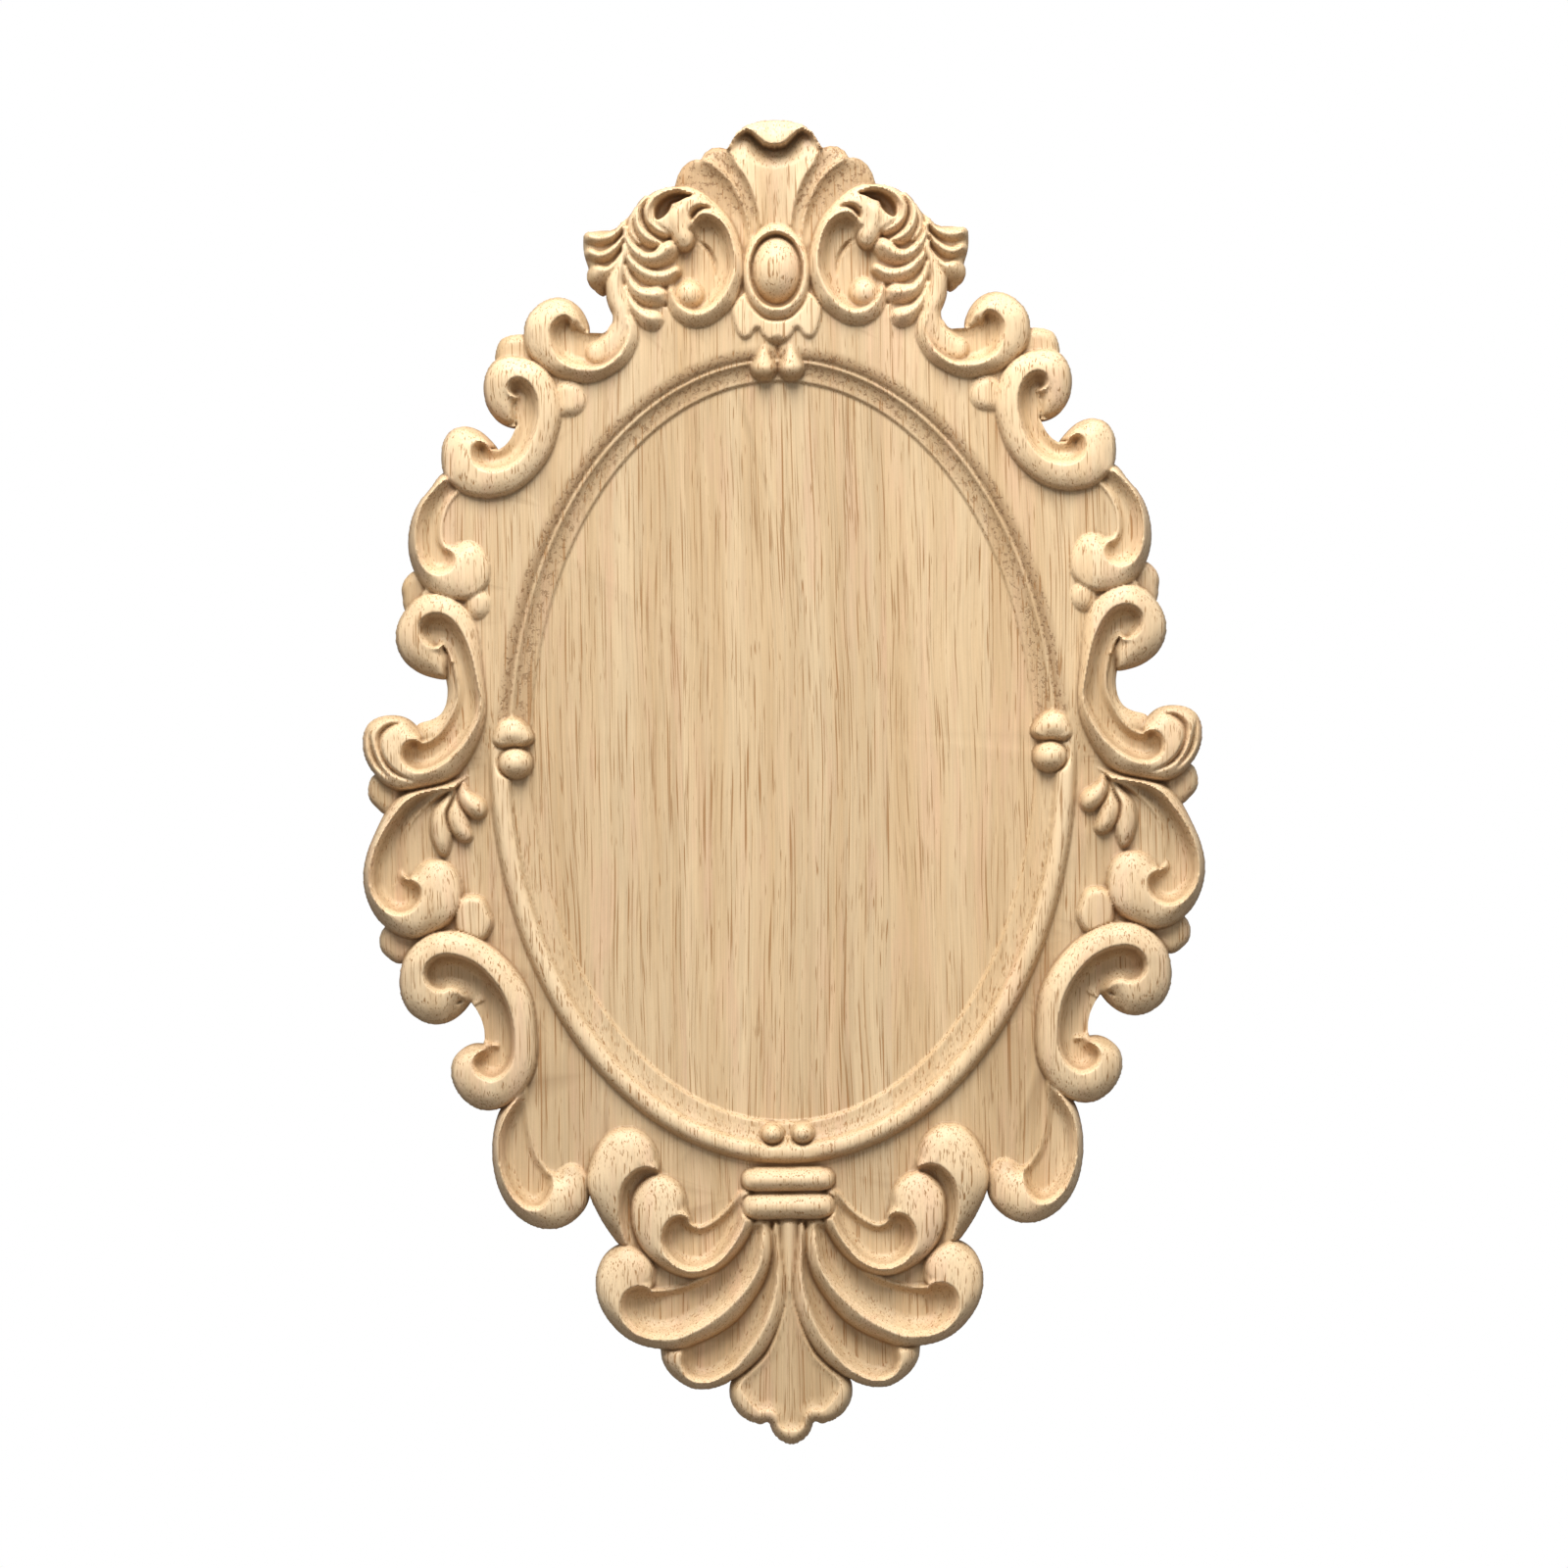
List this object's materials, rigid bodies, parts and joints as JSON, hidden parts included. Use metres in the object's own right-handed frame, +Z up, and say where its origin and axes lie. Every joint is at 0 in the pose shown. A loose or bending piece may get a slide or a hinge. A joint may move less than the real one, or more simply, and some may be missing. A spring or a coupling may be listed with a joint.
{
  "type": "carved wooden applique",
  "caption": "Oval carved wooden applique: a plain sunk field in a moulding, framed by scrolls and leaves, with a shell crest, a leaf pendant and a flat back.",
  "frame": {"origin": "on the flat back, on the vertical axis of symmetry, at half the panel's height", "axes": "+Z up towards the shell crest, -Y out of the carved front, +Y out of the flat back, +X to the right as seen from the front"},
  "size_m": [0.3056, 0.0186, 0.4805],
  "materials": {
    "pale_wood": "bare, finely sanded"
  },
  "bodies": {
    "root": {"carved_panel": "pale_wood"}
  },
  "joints": []
}
